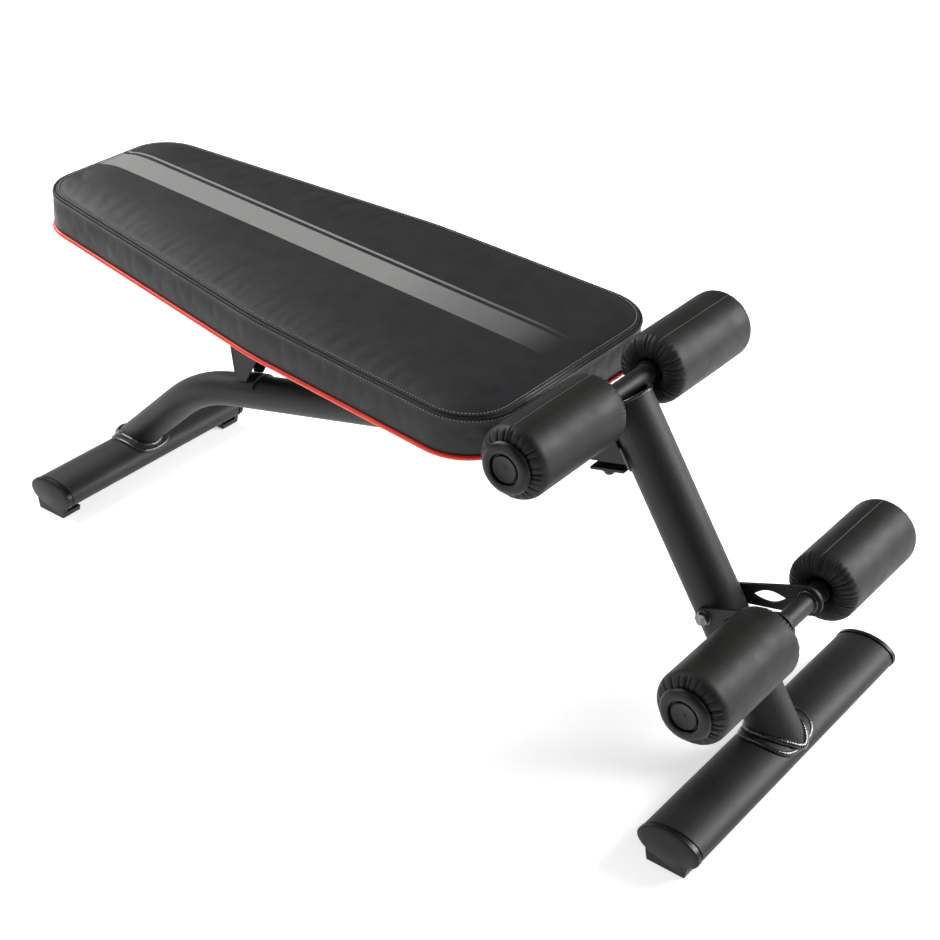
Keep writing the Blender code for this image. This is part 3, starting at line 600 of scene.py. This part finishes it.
def pad_piping(look, tape):
    """Round red piping under the wall, with the flat tape that holds it to the cover."""
    outline = PadOutline(0.0045)
    height = -PAD_WALL - 0.0003 - PIPING_RADIUS
    path = outline.ring(0.0010, height)
    rings = []
    for point, across, up in path_frames(path, True, PAD_UP):
        ripple = 1 + 0.035 * noise.noise(point * 260) + 0.03 * noise.noise(point * 60)
        rings.append(circle(point, across, up, PIPING_RADIUS * ripple, 14))
    bm = bmesh.new()
    loft(bm, rings, closed=True)
    make_piece("pad_piping_cord", bm, look, "main_frame", ["pad_piping"])
    bm = bmesh.new()
    top, bottom = 0.0002 - PAD_WALL, height - PIPING_RADIUS * 0.2
    strip = ((0.0016, height + PIPING_RADIUS * 0.85), (0.0012, top), (0.0075, top), (0.0075, bottom),
             (0.0045, bottom))
    loft(bm, [outline.ring(inset, h) for inset, h in strip], closed=True)
    make_piece("pad_piping_tape", bm, tape, "main_frame")


def pad_underside(cloth, staple_look):
    """Backing cloth finish on the board, and a row of staples round its underside."""
    board_low = min((v.co - PAD_ORIGIN).dot(PAD_UP) for v in frame["nodes"]["pad_board"].data.vertices)
    outline = PadOutline(0.005)
    dress("pad_board", cloth, 0.0015)
    rng = random.Random(7)
    bm = bmesh.new()
    path = resample(outline.ring(STAPLE_INSET, board_low - 0.0001), STAPLE_SPACING)
    for point, across, up in path_frames(path, True, PAD_UP):
        heading = across.cross(up)
        lean = heading * math.cos(0.25 * rng.uniform(-1, 1)) + across * (0.25 * rng.uniform(-1, 1))
        lean.normalize()
        side = lean.cross(up)
        rings = []
        for along, drop in STAPLE_SHAPE:
            rings.append(circle(point + lean * along - up * drop, side, up, 0.0005, 6))
        loft(bm, rings, caps=True)
    make_piece("board_staples", bm, staple_look, "main_frame")


# ---- foam rollers -----------------------------------------------------------------------------------
ROLLER_SEAM = {"upper_left": 6, "upper_right": -13, "lower_left": -77, "lower_right": 6}
ROUND_ROLLER = 320               # columns of vertices round a cover
ROLLER_BORE = 0.0162             # radius of the hole the bar goes through
ROLLER_SKIN = 0.0004             # the cover lies this far inside the foam node's box
SEAM_OFFSETS = (-2.4, -1.6, -1.0, -0.6, -0.3, 0, 0.3, 0.7, 1.2, 2.0, 3.0)    # mm from the seam
SEAM_CLEAR = 3.6                 # mm kept free of evenly spaced columns beside the seam
NEAR_LEAD = 0.006                # pleats start to fade this far before the shoulder ends
CAP_LEAD = 0.011
NEAR_GATHER = (44, 0.0024, 0.0010, (0.001, 0.010))    # count, depth, width, range of lengths
CAP_GATHER = (27, 0.0026, 0.0011, (0.001, 0.004))


def turned_past(angle, mark):
    """Angle from a mark, between -180 and 180 degrees, in radians."""
    return (angle - mark + math.pi) % (2 * math.pi) - math.pi


class Gather:
    """Irregular pleats round one end of a roller: creases at random angles, depths and lengths."""

    def __init__(self, rng, count, depth, width, reach):
        self.depth = depth
        self.width = width
        cells = [rng.uniform(0.6, 1.5) for _ in range(count)]
        total = sum(cells)
        self.creases = []
        angle = rng.uniform(0, 1)
        for cell in cells:
            angle += 2 * math.pi * cell / total
            self.creases.append((angle, rng.uniform(0.55, 1.0), rng.uniform(*reach)))

    def at(self, angle, radius, beyond):
        """Inward offset; beyond is how far along the body the point lies past the shoulder."""
        sunk = 0.0
        for where, depth, reach in self.creases:
            apart = abs(turned_past(angle, where)) * radius
            if apart > 5 * self.width:
                continue
            fade = max(0.0, 1 - beyond / reach) ** 1.5 if beyond > 0 else 1.0
            width = self.width * (1 + max(beyond, 0) * 25)
            sunk = max(sunk, depth * fade * math.exp(-apart / width))
        return self.depth * sunk


def roller_profile(inner, outer, radius, bore):
    """(radius, X) pairs from the inner hole over the body to the outer hole, and the body's two ends."""
    deep, wide = 0.020, 0.017
    points = [(bore, inner + 0.008), (bore + 0.0015, inner + 0.0045), (bore + 0.005, inner + 0.0020),
              (bore + 0.009, inner + 0.0006)]
    arc = 12
    for k in range(arc + 1):
        a = math.pi / 2 * k / arc
        points.append((radius - deep * (1 - math.sin(a)), inner + wide * (1 - math.cos(a))))
    start, end = inner + wide, outer - wide
    body = 34
    for k in range(1, body):
        t = k / body
        crowd = 0.06 * math.sin(2 * math.pi * t) / math.pi
        points.append((radius, start + (end - start) * (t - crowd)))
    for k in range(arc, -1, -1):
        a = math.pi / 2 * k / arc
        points.append((radius - (deep - 0.002) * (1 - math.sin(a)), outer - wide * (1 - math.cos(a))))
    points += [(0.0275, outer - 0.0002), (0.022, outer - 0.0006), (bore, outer - 0.0008)]
    return points, start, end


def seam_angles(seam, radius):
    """Angles round a roller, packed closer together beside its lengthwise seam."""
    even = [2 * math.pi * i / ROUND_ROLLER for i in range(ROUND_ROLLER)]
    near = [seam + d * MM / radius for d in SEAM_OFFSETS]
    gap = SEAM_CLEAR * MM / radius
    kept = [a for a in even if abs(turned_past(a, seam)) > gap]
    return sorted(kept + [a % (2 * math.pi) for a in near])


def roller_cover(label, look):
    """Vinyl sleeve over a foam tube, gathered at both ends and closed by one lengthwise seam."""
    node = "roller_foam_" + label
    low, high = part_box(node)
    side = 1 if high.x > 0 and low.x > 0 else -1
    inner, outer = sorted((abs(low.x), abs(high.x)))
    radius = (high.z - low.z) / 2
    centre = Vector((0, (low.y + high.y) / 2, (low.z + high.z) / 2))
    rng = random.Random("gathers " + label)
    near_end = Gather(rng, *NEAR_GATHER)
    cap_end = Gather(rng, *CAP_GATHER)
    seam = math.radians(ROLLER_SEAM[label])
    profile, start, end = roller_profile(inner + ROLLER_SKIN, outer - ROLLER_SKIN,
                                         radius - ROLLER_SKIN, ROLLER_BORE)
    angles = seam_angles(seam, radius)
    drift = Vector((rng.uniform(0, 9), rng.uniform(0, 9), rng.uniform(0, 9)))
    rings = []
    for i, (r, x) in enumerate(profile):
        before, after = profile[max(i - 1, 0)], profile[min(i + 1, len(profile) - 1)]
        tangent = Vector((after[1] - before[1], after[0] - before[0])).normalized()
        out_x, out_r = -tangent.y, tangent.x
        grip = min(1.0, max(0.0, (r - ROLLER_BORE) / 0.004))
        ring = []
        for a in angles:
            round_way = Vector((0, math.sin(a), math.cos(a)))
            if x < (start + end) / 2:
                sunk = near_end.at(a, r, x - start + NEAR_LEAD)
            else:
                sunk = cap_end.at(a, r, end - x + CAP_LEAD)
            place = X_AXIS * (x * 9) + round_way * 0.9 + drift
            soft = 0.0004 * noise.noise(place) + 0.00015 * noise.noise(place * 3.1)
            fine = 0.00010 * noise.noise(X_AXIS * (x * 80) + round_way * (r * 80) + drift)
            apart = turned_past(a, seam) * r
            fold = -0.0014 * math.exp(-(apart / 0.0005) ** 2)
            fold += 0.0003 * math.exp(-apart / 0.007) if apart > 0 else 0.0
            push = (-sunk + soft + fine + fold) * grip - 0.0007 * grip
            rr = r + out_r * push
            ring.append(centre + X_AXIS * (side * (x + out_x * push)) + round_way * rr)
        rings.append(ring)
    bm = bmesh.new()
    loft(bm, rings, closed=True)
    cover = make_piece("roller_cover_" + label, bm, look, label + "_roller", [node],
                       sharp=75)


CAP_THICK = 0.0078
CAP_DOME_STEPS = 10
CAP_FACE = (                     # radius, depth under the cap's outermost point
    (0.0214, 0.0004), (0.0205, 0.0010), (0.0200, 0.0022), (0.0196, 0.0062), (0.0188, 0.0068),
    (0.0174, 0.0066), (0.0171, 0.0034), (0.0167, 0.0026), (0.0160, 0.0023), (0.0150, 0.0024),
    (0.0140, 0.0030), (0.0060, 0.0036), (0.0024, 0.0037), (0.0020, 0.0031), (0.0008, 0.0030))


def end_cap(label, look):
    """Moulded cap on a bar's end: domed ring, groove and shallow dished disc with a sprue mark."""
    node = "bar_end_cap_" + label
    low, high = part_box(node)
    side = 1 if high.x > 0 and low.x > 0 else -1
    reach = max(abs(low.x), abs(high.x))
    radius = (high.z - low.z) / 2
    centre = Vector((0, (low.y + high.y) / 2, (low.z + high.z) / 2))
    back = reach - CAP_THICK
    profile = [(0.0096, back - 0.018), (0.0104, back - 0.016), (0.0104, back), (radius - 0.0022, back),
               (radius - 0.0006, back + 0.0004), (radius, back + 0.0013)]
    for k in range(CAP_DOME_STEPS + 1):
        a = math.pi / 2 * k / CAP_DOME_STEPS
        ring_radius = radius - 0.0085 * (1 - math.cos(a)) - 0.0002
        profile.append((ring_radius, back + 0.0016 + 0.0060 * math.sin(a)))
    profile += [(r, reach - depth) for r, depth in CAP_FACE]
    bm = bmesh.new()
    loft(bm, lathe(centre, X_AXIS * side, profile, 112), caps=True)
    make_piece("end_cap_" + label, bm, look, "front_leg", [node], sharp=50)


# ---- welds --------------------------------------------------------------------------------------
WELD_STEP = 0.0011               # distance between a bead's rings
WELD_PITCH = 0.0034              # length of one puddle
WELD_ROUND = 14                  # points round a bead


def weld_bead(name, path, hint, radius, body, look, closed=True):
    """Rippled weld along a path: overlapping half-moon puddles, slightly uneven in width."""
    rings = []
    frames = path_frames(resample(path, WELD_STEP, closed), closed, hint)
    for i, (point, across, up) in enumerate(frames):
        wave = abs(math.sin(math.pi * i * WELD_STEP / WELD_PITCH))
        uneven = 1 + 0.16 * noise.noise(point * 90 + X_AXIS)
        heading = across.cross(up)
        if not closed:
            edge = min(i, len(frames) - 1 - i)
            uneven *= min(1.0, 0.35 + 0.22 * edge)
        ring = []
        for k in range(WELD_ROUND):
            a = 2 * math.pi * k / WELD_ROUND
            r = radius * uneven * (0.84 + 0.20 * wave ** 0.6)
            lag = -heading * (0.0011 * math.cos(a) ** 2)
            ring.append(point + across * (1.15 * r * math.cos(a)) + up * (0.8 * r * math.sin(a)) + lag)
        rings.append(ring)
    bm = bmesh.new()
    loft(bm, rings, closed=closed, caps=not closed)
    return make_piece(name, bm, look, body, sharp=60)


def oval_section(end):
    """Centre, half width and half height of a stabilizer tube."""
    low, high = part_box(end + "_stabilizer_tube")
    return (low + high) / 2, (high.y - low.y) / 2, (high.z - low.z) / 2


OVAL = {end: oval_section(end) for end in ("front", "rear")}
LANDS_ABOVE = {"front": 0.041, "rear": 0.050}      # a ray past the tube's side stops at this height
LANDS_CLEAR = {"front": 0.0050, "rear": 0.0036}    # the saddle plate's room under the bead
LAND_STEP = 0.0004
LAND_STEPS = 900


def land(point, heading, end):
    """Where a ray first comes close to a stabilizer tube."""
    centre, wide, tall = OVAL[end]
    clear = LANDS_CLEAR[end]
    for i in range(LAND_STEPS):
        p = point + heading * (LAND_STEP * i)
        y, z = (p.y - centre.y) / (wide + clear), (p.z - centre.z) / (tall + clear)
        if y * y + z * z <= 1 or p.z < LANDS_ABOVE[end]:
            return p
    return point


def oval_normal(end):
    """Function giving the outward direction of a stabilizer tube at a point."""
    centre, wide, tall = OVAL[end]
    return lambda p: Vector((0, (p.y - centre.y) / wide ** 2, (p.z - centre.z) / tall ** 2)).normalized()


def ring_where_tube_lands(end, axis_point, heading, side_up, radius):
    ring = circle(axis_point, X_AXIS, side_up, radius, 90)
    return [land(p, heading, end) for p in ring]


def saddle_rim(end, half_x, half_angle, clear):
    """Rounded rectangle wrapped over a stabilizer tube, just outside its saddle plate."""
    centre, wide, tall = OVAL[end]
    rim = []
    for i in range(120):
        a = 2 * math.pi * i / 120
        x = half_x * math.copysign(abs(math.cos(a)) ** 0.8, math.cos(a))
        swing = math.radians(half_angle) * math.copysign(abs(math.sin(a)) ** 0.8, math.sin(a))
        y = centre.y + (wide + clear) * math.sin(swing)
        rim.append(Vector((x, y, centre.z + (tall + clear) * math.cos(swing))))
    return rim


UPRIGHT_TOP = 0.0105             # the upright's cut end, below the upper bar's axis
LEG_FOOT = Vector((0, OVAL["front"][0].y, 0.050))
LINK_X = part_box("lower_link_right")[0].x
CHEEK_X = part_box("fold_cheek_right")[0].x + 0.0025
CHEEK_MIDDLE = middle("fold_floor_plate")
SADDLES = (("front", "front_leg", 0.0435), ("rear", "main_frame", 0.0365))    # end, body, half length
SADDLE_HALF_ANGLE = 62
SADDLE_RISE = 0.0014             # a saddle's bead over the stabilizer tube
SIDES = ((-1, "left"), (1, "right"))


def weld_feet(look):
    start = LEG_FOOT + UP_LEG * 0.10
    ring = ring_where_tube_lands("front", start, -UP_LEG, BEHIND_LEG, UPRIGHT_RADIUS - 0.0002)
    weld_bead("weld_upright_foot", ring, oval_normal("front"), 0.0042, "front_leg", look)
    start = TUBE_CORNER + STEEP_BACK * 0.08
    ring = ring_where_tube_lands("rear", start, STEEP_BACK, STEEP_UP, TUBE_RADIUS + 0.0008)
    weld_bead("weld_tube_foot", ring, oval_normal("rear"), 0.0040, "main_frame", look)
    for end, body, half_x in SADDLES:
        rim = saddle_rim(end, half_x, SADDLE_HALF_ANGLE, SADDLE_RISE)
        weld_bead("weld_%s_saddle" % end, rim, oval_normal(end), 0.0030, body, look)


def weld_upper_bar(look):
    """Two arcs along the upright's cut end, behind the bar and in front of it."""
    rim = circle(UPPER_BAR - UP_LEG * UPRIGHT_TOP, X_AXIS, BEHIND_LEG, UPRIGHT_RADIUS - 0.0012, 72)
    for name, first in (("back", 3), ("front", 39)):
        weld_bead("weld_upper_bar_" + name, rim[first:first + 31], UP_LEG, 0.0030, "front_leg", look,
                  closed=False)


def weld_cheeks(look):
    """Short straight beads where the fold cheeks meet the upright."""
    front = math.sqrt(UPRIGHT_RADIUS ** 2 - CHEEK_X ** 2)
    reach = (CHEEK_MIDDLE - LEG_FOOT).dot(UP_LEG)
    for side, hand in SIDES:
        foot = LEG_FOOT + BEHIND_LEG * ((UPPER_BAR - LEG_FOOT).dot(BEHIND_LEG) + front)
        foot += X_AXIS * (side * (CHEEK_X + 0.0040))
        line = [foot + UP_LEG * (reach + d * MM) for d in range(-8, 25, 2)]
        weld_bead("weld_cheek_" + hand, line, X_AXIS * side, 0.0022, "front_leg", look, closed=False)


def weld_links(look):
    """Beads round the lower bar, on both faces of each link plate."""
    for side, hand in SIDES:
        for face, x in (("inner", LINK_X - 0.0012), ("outer", LINK_X + 0.0062)):
            round_bar = circle(LOWER_BAR + X_AXIS * (side * x), Y_AXIS, Z_AXIS, BAR_RADIUS + 0.0008, 60)
            weld_bead("weld_link_%s_%s" % (face, hand), round_bar, X_AXIS, 0.0019, "front_leg", look)


def add_welds(look):
    weld_feet(look)
    weld_upper_bar(look)
    weld_cheeks(look)
    weld_links(look)


def add_upright_plug(look):
    """Pressed disc that closes the upright's top, on both sides of the bar."""
    inside = UPRIGHT_RADIUS - 0.0022
    top = -UPRIGHT_TOP - 0.0036
    profile = ((inside - 0.0006, top - 0.0030), (inside, top - 0.0024), (inside, top - 0.0010),
               (inside - 0.0008, top - 0.0004), (inside - 0.0040, top), (0.0005, top + 0.0006))
    bm = bmesh.new()
    loft(bm, lathe(UPPER_BAR, UP_LEG, profile, 64), caps=True)
    make_piece("upright_top_plug", bm, look, "front_leg")


# ---- studio ---------------------------------------------------------------------------------------
FLOOR_HALF = 40                  # half of the floor's side, metres
FLOOR_ROWS = 8


def add_floor(look):
    bm = bmesh.new()
    marks = [FLOOR_HALF * 2 * i / FLOOR_ROWS - FLOOR_HALF for i in range(FLOOR_ROWS + 1)]
    points = [[bm.verts.new((x, y, 0)) for x in marks] for y in marks]
    for a, b in zip(points, points[1:]):
        for i in range(FLOOR_ROWS):
            bm.faces.new((a[i], a[i + 1], b[i + 1], b[i]))
    mesh = bpy.data.meshes.new("floor")
    bm.to_mesh(mesh)
    bm.free()
    floor = bpy.data.objects.new("floor", mesh)
    floor.location.z = -0.0005
    floor.data.materials.append(look)
    bpy.context.scene.collection.objects.link(floor)


def area_light(name, place, target, size, power):
    data = bpy.data.lights.new(name, "AREA")
    data.energy = power
    data.shape = "SQUARE"
    data.size = size
    lamp = bpy.data.objects.new(name, data)
    lamp.location = place
    lamp.rotation_euler = (Vector(target) - Vector(place)).to_track_quat("-Z", "Y").to_euler()
    bpy.context.scene.collection.objects.link(lamp)


def add_lights():
    area_light("key_softbox", (2.1, -2.2, 1.7), (0, -0.2, 0.3), 1.3, 120)
    area_light("top_softbox", (0.0, 2.2, 2.2), (0, 0.1, 0.3), 1.7, 80)
    area_light("left_fill", (-2.6, 0.9, 1.4), (0, 0.1, 0.3), 1.4, 14)
    world = bpy.data.worlds.new("studio")
    world.use_nodes = True
    sky = world.node_tree.nodes["Background"]
    sky.inputs["Color"].default_value = (1.0, 1.0, 1.0, 1)
    sky.inputs["Strength"].default_value = 0.16
    bpy.context.scene.world = world


CAMERA_PLACE = (-1.7119, -1.3592, 1.5551)
CAMERA_YAW = 51.804
CAMERA_PITCH = -30.081
CAMERA_ROLL = 0.653
CAMERA_LENS = 71.82
CAMERA_SHIFT = (0.039, -0.053)


def add_camera():
    yaw, pitch, roll = (math.radians(a) for a in (CAMERA_YAW, CAMERA_PITCH, CAMERA_ROLL))
    forward = Vector((math.sin(yaw) * math.cos(pitch), math.cos(yaw) * math.cos(pitch), math.sin(pitch)))
    right = Vector((math.cos(yaw), -math.sin(yaw), 0))
    up = right.cross(forward)
    turned_right = right * math.cos(roll) + up * math.sin(roll)
    turned_up = up * math.cos(roll) - right * math.sin(roll)
    data = bpy.data.cameras.new("camera")
    data.lens = CAMERA_LENS
    data.shift_x, data.shift_y = CAMERA_SHIFT
    data.clip_start = 0.05
    data.clip_end = 60
    camera = bpy.data.objects.new("camera", data)
    axes = Matrix((turned_right, turned_up, -forward)).transposed()
    camera.matrix_world = Matrix.Translation(CAMERA_PLACE) @ axes.to_4x4()
    bpy.context.scene.collection.objects.link(camera)
    bpy.context.scene.camera = camera


# ---- assembly -------------------------------------------------------------------------------------
def dress_frame(coat, zinc, plastic):
    by_slot = {"powder_coat": coat, "zinc_steel": zinc, "black_plastic": plastic}
    slots = {s["node"]: s["material_slot"] for s in frame["record"]["subparts"]}
    rebuilt = {"pad_cushion", "pad_piping", "pad_board"}
    for node, slot in slots.items():
        if node in rebuilt or node.startswith(("roller_foam", "bar_end_cap")):
            continue
        bevel = 0.0 if node.startswith(("roller_sleeve", "lock_pin", "pivot_sleeve")) else 0.0005
        dress(node, by_slot[slot], bevel)


def build():
    coat, zinc, plastic, weld = powder_coat(), zinc_steel(), moulded_plastic(), weld_metal()
    roller, backing = roller_vinyl(), backing_cloth()
    pad_cover(pad_vinyl("pad_panel_vinyl", True), pad_vinyl("pad_side_vinyl", False))
    pad_stitching(thread("grey_thread", (0.36, 0.36, 0.34)))
    pad_piping(red_vinyl(), backing)
    pad_underside(backing, zinc)
    for label in ("upper_left", "upper_right", "lower_left", "lower_right"):
        roller_cover(label, roller)
        end_cap(label, plastic)
    add_welds(weld)
    add_upright_plug(coat)
    dress_frame(coat, zinc, plastic)
    add_floor(plain_floor())
    add_lights()
    add_camera()
    bpy.context.scene.view_settings.view_transform = "Standard"


build()
